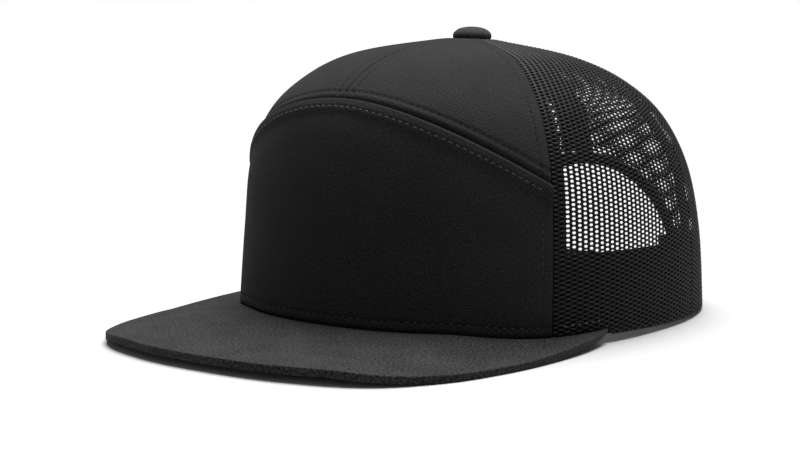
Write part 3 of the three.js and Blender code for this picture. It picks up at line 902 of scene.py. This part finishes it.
# The button's cloth is the crown's cloth, painted paler than on the top panels as painted light, since its
# top faces the light from above.
button_cloth = woven_cloth("button_weave_painted_lit", "#222223", "#363637", 0.5, 0.04)
button = swept_solid("button_cloth", tilted + ring_centre + [0, 0, SEAM_GAP], np.stack([x, y, z], -1))
button.data.materials.append(button_cloth)
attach(button, "root")
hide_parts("button")


# The arched rear opening is cut out of the two back panels, and its edge is bound with twill tape
# folded round the net and stitched through.
BINDING_PROUD = 0.5
BINDING_INSET = 1.7
BINDING_ROUNDING = 0.8
BINDING_EDGE = 0.35
BINDING_STEPS = 60
STITCH_FROM_BINDING = 1.4
BINDING_PITCH = 2.6
BINDING_STITCH = 1.9
inner_edge = opening_edge(BINDING_EDGE, BINDING_STEPS)
outer_edge = opening_edge(BINDING_WIDTH - BINDING_EDGE, BINDING_STEPS)


def both_sides(angles, rises):
    """A line on the +X side, carried on over the middle to the other side."""
    return (np.concatenate([angles, 2 * math.pi - angles[-2::-1]]),
            np.concatenate([rises, rises[-2::-1]]))


thickness = BINDING_PROUD + BINDING_INSET
outline = rounded_section(BINDING_WIDTH, thickness, BINDING_ROUNDING, 6)
near_angles, near_rises = both_sides(*inner_edge)
far_angles, far_rises = both_sides(*outer_edge)
share = outline[None, :, 0] / BINDING_WIDTH + 0.5
angles = near_angles[:, None] * (1 - share) + far_angles[:, None] * share
rises = near_rises[:, None] * (1 - share) + far_rises[:, None] * share
out = np.broadcast_to(outline[None, :, 1] + (BINDING_PROUD - BINDING_INSET) / 2, angles.shape)
loops = crown_point(angles, rises, out)
along = path_lengths(crown_surface(near_angles, near_rises))
cloth = np.stack(np.broadcast_arrays(outline[None, :, 0], along[:, None], out), -1)
binding = swept_solid("rear_opening_binding", loops, cloth)
binding.data.materials.append(twill)
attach(binding, "root")
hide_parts("opening_binding")
runs = []
for share in (STITCH_FROM_BINDING / BINDING_WIDTH, 1 - STITCH_FROM_BINDING / BINDING_WIDTH):
    row_angles = near_angles * (1 - share) + far_angles * share
    row_rises = near_rises * (1 - share) + far_rises * share
    for out in (BINDING_PROUD, -BINDING_INSET):
        places, along, outward = stitch_run(row_angles, row_rises, out, BINDING_PITCH)
        runs.append((places, along, outward * np.sign(out)))
binding_stitches = add_stitches("rear_opening_stitching", runs, BINDING_STITCH, FINE_THREAD)
binding_stitches.data.materials.append(black_thread)
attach(binding_stitches, "root")


# The size strap is moulded in black polyethylene in two halves: one has a row of holes, and the
# other a row of studs that press through them. They are fastened here, four studs in four holes.
STRAP_HALF_LENGTH = 57
STRAP_BOTTOM = 0.8
STRAP_TOP = 13.5
STRAP_THICKNESS = 1.2
STRAP_EDGE = 0.12
STRAP_INSET = 2.0
STRAP_OVERLAP = 19
# Where they overlap, each half lies this far out or in, and beyond that it runs back to the middle.
STRAP_OFFSET = 0.62
STRAP_OFFSET_FROM = STRAP_OVERLAP - 2
STRAP_OFFSET_TO = STRAP_OVERLAP + 9
STUD_PITCH = 9
STUD_COUNT = 7
FIRST_STUD = 13.5
HOLE_RADIUS = 2.5
HOLE_SIDES = 32
STUD_RADIUS = 2.1
STUD_SIDES = 20
# A stud from its root to its tip: its radius and how far out it reaches. Its head is a little wider.
STUD_PROFILE = ((STUD_RADIUS, -0.2), (STUD_RADIUS, 1.2), (STUD_RADIUS + 0.35, 1.5),
                (STUD_RADIUS + 0.3, 1.9), (STUD_RADIUS - 0.5, 2.3), (0.02, 2.4))
strap_height = (STRAP_TOP + STRAP_BOTTOM) / 2
hole_places = [STUD_PITCH * i - FIRST_STUD for i in range(STUD_COUNT)]
stud_places = [FIRST_STUD - STUD_PITCH * i for i in range(STUD_COUNT)]


def behind_angle(across, rise):
    """The angle at the back of the crown that lies a distance across from the middle."""
    tried = np.linspace(math.pi / 2, math.pi * 1.5, 1441)
    line = crown_surface(tried, rise)[:, 0]
    return np.interp(-across, -line, tried)


def strap_point(across, height, out):
    """A point on the strap's line behind the head."""
    rise = rise_at_height(height)
    middle_rise = float(rise_at_height(strap_height))
    return crown_point(behind_angle(across, middle_rise), rise, out)


def strap_offset(across, way):
    """How far in a half lies at a distance across. The way is 1 for the inner half, -1 for the
    outer one."""
    return way * STRAP_OFFSET * (1 - smooth_share(-way * across, STRAP_OFFSET_FROM, STRAP_OFFSET_TO))


def strap_half(name, low, high, holes, way):
    """One half of the strap, with round holes in square cells."""
    turn = (np.arange(HOLE_SIDES) + 0.5) * 2 * math.pi / HOLE_SIDES
    circle = np.stack([np.cos(turn), np.sin(turn)], -1)
    square = circle / np.abs(circle).max(-1, keepdims=True)
    points, faces, total = [], [], 0
    edges = [low, high] + [place + half for place in holes for half in (-STUD_PITCH / 2, STUD_PITCH / 2)]
    edges = sorted(set(np.clip(edges, low, high)))
    for left, right in zip(edges[:-1], edges[1:]):
        middle = (left + right) / 2
        has_hole = any(abs(middle - place) < 0.5 for place in holes)
        target = circle * HOLE_RADIUS if has_hole else square * 0.0
        edge = square * [(right - left) / 2, (STRAP_TOP - STRAP_BOTTOM) / 2]
        face = []
        for share, drop in ((0.0, 0.0), (0.5, 0.0), (0.9, 0.0), (1.0, STRAP_EDGE)):
            ring = edge + (target - edge) * share
            face.append(np.concatenate([ring + [middle, 0], np.full((HOLE_SIDES, 1), -drop)], -1))
        back = [ring * [1, 1, -1] + [0, 0, -STRAP_THICKNESS] for ring in face[::-1]]
        rings = np.array(face + back)
        out = rings[..., 2] - STRAP_INSET - strap_offset(rings[..., 0], way)
        height = strap_height + rings[..., 1]
        points.append(strap_point(rings[..., 0], height, out).reshape(-1, 3))
        faces.append(grid_faces(len(rings), HOLE_SIDES, around=True) + total)
        total += len(rings) * HOLE_SIDES
    return add_piece(name, np.concatenate(points), np.concatenate(faces), weld=0.03)


def strap_studs(name, way):
    """The row of studs on the inner half."""
    points, faces, total = [], [], 0
    turn = np.arange(STUD_SIDES) * 2 * math.pi / STUD_SIDES
    for place in stud_places:
        rings = []
        for radius, lift in STUD_PROFILE:
            across = place + radius * np.cos(turn)
            height = strap_height + radius * np.sin(turn)
            out = lift - STRAP_INSET - strap_offset(np.full(STUD_SIDES, float(place)), way)
            rings.append(strap_point(across, height, out))
        points.append(np.array(rings).reshape(-1, 3))
        faces.append(grid_faces(len(rings), STUD_SIDES, around=True) + total)
        total += len(rings) * STUD_SIDES
    return add_piece(name, np.concatenate(points), np.concatenate(faces), weld=0.03)


def moulded_plastic(name, colour):
    """Moulded polyethylene: smooth and waxy, with a satin skin and faint flow marks."""
    material, tree = new_material(name)
    place = node(tree, "TexCoord")
    flow = node(tree, "TexNoise", {"Scale": 0.5 / MM, "Detail": 3.0}, {"Vector": place.outputs["Object"]})
    rough = node(tree, "MapRange", {"To Min": 0.36, "To Max": 0.5}, {"Value": flow.outputs[0]})
    bump = node(tree, "Bump", {"Strength": 0.25, "Distance": 0.03 * MM}, {"Height": flow.outputs[0]})
    plastic = node(tree, "BsdfPrincipled", {"Base Color": linear(colour), "IOR": 1.51},
                   {"Roughness": rough.outputs[0], "Normal": bump.outputs[0]})
    node(tree, "OutputMaterial", links={"Surface": plastic.outputs[0]})
    return material


strap_plastic = moulded_plastic("moulded_black_polyethylene", "#161617")
holed_half = strap_half("strap_half_with_holes", -STRAP_OVERLAP, STRAP_HALF_LENGTH, hole_places, -1)
studded_half = strap_half("strap_half_with_studs", -STRAP_HALF_LENGTH, STRAP_OVERLAP, [], 1)
studs = strap_studs("strap_studs", 1)
for piece in (holed_half, studded_half, studs):
    piece.data.materials.append(strap_plastic)
    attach(piece, "root")
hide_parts("snap_strap")


# The peak is a flat plastic board, 2 mm thick, between two layers of black cloth that are sewn
# together round its edge and turned. It is sewn under the front of the crown.
PEAK_THICKNESS = 3.0
PEAK_EDGE = 0.45
# The outline: bearings from a point inside the crown, and the reach from it, in degrees and mm.
PEAK_CENTRE = -60
PEAK_OUTLINE = np.array([(0, 106.2), (18, 108.5), (34, 111.0), (48, 105.0), (62, 96.6), (78, 90.2),
                         (95, 88.0), (112, 89.3)])
# The two ends, in degrees: where they stop, and where they start to round off and to thin out.
PEAK_END = 108.5
PEAK_ROUNDING = 3
PEAK_THINNING = 12
PEAK_END_THICKNESS = 0.25
outline_both = np.concatenate([PEAK_OUTLINE[:0:-1] * [-1, 1], PEAK_OUTLINE])
outline_line = smooth_between(outline_both, np.linspace(0, len(outline_both) - 1, 1401))
bearings = np.linspace(-PEAK_END, PEAK_END, 261)
outer_reach = np.interp(bearings, outline_line[:, 0], outline_line[:, 1])
tried = np.linspace(-math.pi / 2, math.pi / 2, 1441)
tried_feet = crown_point(tried, 0.0, -WALL)
tried_bearing = np.degrees(np.arctan2(tried_feet[:, 0], PEAK_CENTRE + CROWN_SHIFT - tried_feet[:, 1]))
feet_angle = np.interp(bearings, tried_bearing, tried)
feet = crown_point(feet_angle, 0.0, -WALL)
inner_reach = np.hypot(feet[:, 0], feet[:, 1] - PEAK_CENTRE - CROWN_SHIFT)
from_end = PEAK_END - np.abs(bearings)
narrowing = np.sqrt(1 - (1 - np.clip(from_end / PEAK_ROUNDING, 0.002, 1)) ** 2)
outer_reach = inner_reach + (outer_reach - inner_reach) * narrowing
fullness = PEAK_END_THICKNESS + (1 - PEAK_END_THICKNESS) * smooth_share(from_end, 0, PEAK_THINNING)
thickness = PEAK_THICKNESS * fullness[:, None]
edge_round = np.minimum(PEAK_EDGE, (outer_reach - inner_reach) / 2)
turns = np.linspace(0, math.pi / 2, 6)
top_shares = np.concatenate([np.linspace(0, 0.94, 18), np.linspace(0.955, 1, 5)])
flat_reach = outer_reach - edge_round
top_reach = inner_reach[:, None] + (flat_reach - inner_reach)[:, None] * top_shares
edge_reach = flat_reach[:, None] + edge_round[:, None] * np.sin(turns)[1:]
edge_drop = edge_round[:, None] * (1 - np.cos(turns)[1:])
reach = np.concatenate([top_reach, edge_reach, edge_reach[:, ::-1], top_reach[:, ::-1]], 1)
drop = np.concatenate([np.zeros_like(top_reach), edge_drop, thickness - edge_drop[:, ::-1],
                       np.zeros_like(top_reach) + thickness], 1)
bearing = np.radians(bearings)[:, None]
x = reach * np.sin(bearing)
y = PEAK_CENTRE + CROWN_SHIFT - reach * np.cos(bearing)
z = np.maximum(peak_top(x, y) - drop, 0)
peak_cloth = woven_cloth("peak_plain_weave_cotton_polyester", "#0c0c0c", "#2f2f30", 0.6, 0.07,
                         contrast=2.0)
over_edge = reach + drop
peak_flat = np.stack([over_edge * np.sin(bearing), -over_edge * np.cos(bearing), drop * 0], -1)
peak = swept_solid("peak_cloth", np.stack([x, y, z], -1), peak_flat)
peak.data.materials.append(peak_cloth)
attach(peak, "root")
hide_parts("peak")


# The sweatband is a folded band of black cotton twill round the inside of the rim. It is sewn on
# along its lower edge and turned up, and its two ends stop beside the rear opening.
SWEATBAND_BOTTOM = 0.2
SWEATBAND_END_TOP = 26
SWEATBAND_END = 156
BAND_WIDTH = 31
BAND_STEPS = 20
# Towards its ends the band steps in, to pass over the ends of the strap.
SWEATBAND_STEP_FROM = 132
SWEATBAND_STEP_TO = 143
SWEATBAND_STEP = 2.0
# Its upper edge is rolled over the last share of the width, and its inner face puckers a little.
ROLL_SHARE = 0.07
ROLL_DEPTH = 0.5
BAND_GAP = 0.1
INNER_SETBACK = 0.2
PUCKER_DEPTH = 0.18
PUCKERS = 31
band_angles = np.radians(np.linspace(-SWEATBAND_END, SWEATBAND_END, 300))
inset = WALL + SEAM_GAP + SWEATBAND_STEP * smooth_share(np.degrees(np.abs(band_angles)),
                                                       SWEATBAND_STEP_FROM, SWEATBAND_STEP_TO)
fall = smooth_share(np.degrees(np.abs(band_angles)), SWEATBAND_STEP_FROM, SWEATBAND_END)
top_height = SWEATBAND_TOP + (SWEATBAND_END_TOP - SWEATBAND_TOP) * fall
top_rise = rise_at_height(top_height)
bottom_rise = float(rise_at_height(SWEATBAND_BOTTOM))
shares = np.linspace(0, 1, BAND_STEPS)
face_shares = np.concatenate([shares, shares[::-1]])
inner_face = np.repeat([0.0, 1.0], BAND_STEPS)
roll = ROLL_DEPTH * np.clip((face_shares - 1 + ROLL_SHARE) / ROLL_SHARE, 0, 1) ** 2
rises = bottom_rise + (top_rise - bottom_rise)[:, None] * face_shares
puckers = PUCKER_DEPTH * np.abs(np.sin(band_angles * PUCKERS))[:, None] * face_shares
depth = (
    inset[:, None] + BAND_GAP + (1 - 2 * inner_face) * roll
    + inner_face * (WALL - INNER_SETBACK + puckers)
)
loops = crown_point(band_angles[:, None], rises, -depth)
around = path_lengths(crown_surface(band_angles, bottom_rise))
cloth = np.stack(np.broadcast_arrays(around[:, None], face_shares * BAND_WIDTH, inner_face), -1)
band_twill = woven_cloth("sweatband_cotton_twill", "#141414", "#1e1e1e", 0.6, 0.06)
sweatband = swept_solid("sweatband_twill", loops, cloth)
sweatband.data.materials.append(band_twill)
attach(sweatband, "root")
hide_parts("sweatband")


# The studio is a plain sheet of matt pale paper, under one wide soft light from above and in
# front of a white surround, which also fills in the shadows.
FLOOR_REACH = 6.0
FLOOR_CORNERS = ((-1, -1), (1, -1), (1, 1), (-1, 1))
SOFTBOX_STRENGTH = 8.2
SOFTBOX_SPREAD = 50
SOFTBOX_FROM = (-0.06, 0.24, 1.0)
SURROUND_SEEN = 1.0
SURROUND_LIGHT = 0.27
floor_mesh = bpy.data.meshes.new("studio_floor")
floor_mesh.from_pydata([(x * FLOOR_REACH, y * FLOOR_REACH, 0) for x, y in FLOOR_CORNERS], [], [(0, 1, 2, 3)])
floor = bpy.data.objects.new("studio_floor", floor_mesh)
bpy.context.scene.collection.objects.link(floor)
floor_paint, tree = new_material("matt_pale_paper")
paper = node(tree, "BsdfDiffuse", {"Color": linear("#b6b6b6"), "Roughness": 0.5})
node(tree, "OutputMaterial", links={"Surface": paper.outputs[0]})
floor_mesh.materials.append(floor_paint)

overhead_data = bpy.data.lights.new("overhead_softbox", "SUN")
overhead_data.energy = SOFTBOX_STRENGTH
overhead_data.angle = math.radians(SOFTBOX_SPREAD)
overhead = bpy.data.objects.new("overhead_softbox", overhead_data)
overhead.rotation_euler = Vector(SOFTBOX_FROM).to_track_quat("Z", "Y").to_euler()
bpy.context.scene.collection.objects.link(overhead)

world = bpy.data.worlds.new("white_surround")
bpy.context.scene.world = world
world.use_nodes = True
tree = world.node_tree
tree.nodes.clear()
path = node(tree, "LightPath")
seen = node(tree, "Background", {"Color": (1, 1, 1, 1), "Strength": SURROUND_SEEN})
lighting = node(tree, "Background", {"Color": (1, 1, 1, 1), "Strength": SURROUND_LIGHT})
chosen = node(tree, "MixShader", links={
    0: path.outputs["Is Camera Ray"], 1: lighting.outputs[0], 2: seen.outputs[0],
})
node(tree, "OutputWorld", links={"Surface": chosen.outputs[0]})
bpy.context.scene.view_settings.view_transform = "Standard"
bpy.context.scene.view_settings.look = "None"


# The camera stands at the photograph's angle: in front, to the wearer's left, and a little higher
# than the top of the cap, with a long lens.
CAMERA_AZIMUTH = 36.895
CAMERA_ELEVATION = 7.52
CAMERA_ROLL = 0.225
CAMERA_DISTANCE = 780
CAMERA_TARGET = (-13.02, -1.22, 34.87)
CAMERA_LENS = 86.8
azimuth, elevation = math.radians(CAMERA_AZIMUTH), math.radians(CAMERA_ELEVATION)
back = Vector((math.sin(azimuth) * math.cos(elevation), -math.cos(azimuth) * math.cos(elevation),
               math.sin(elevation)))
camera_data = bpy.data.cameras.new("camera")
camera_data.lens = CAMERA_LENS
camera_data.sensor_width = 36
camera_data.clip_start = 0.05
camera = bpy.data.objects.new("camera", camera_data)
camera.location = (Vector(CAMERA_TARGET) + back * CAMERA_DISTANCE) * MM
roll = Quaternion((0, 0, 1), math.radians(CAMERA_ROLL))
camera.rotation_euler = (back.to_track_quat("Z", "Y") @ roll).to_euler()
bpy.context.scene.collection.objects.link(camera)
bpy.context.scene.camera = camera
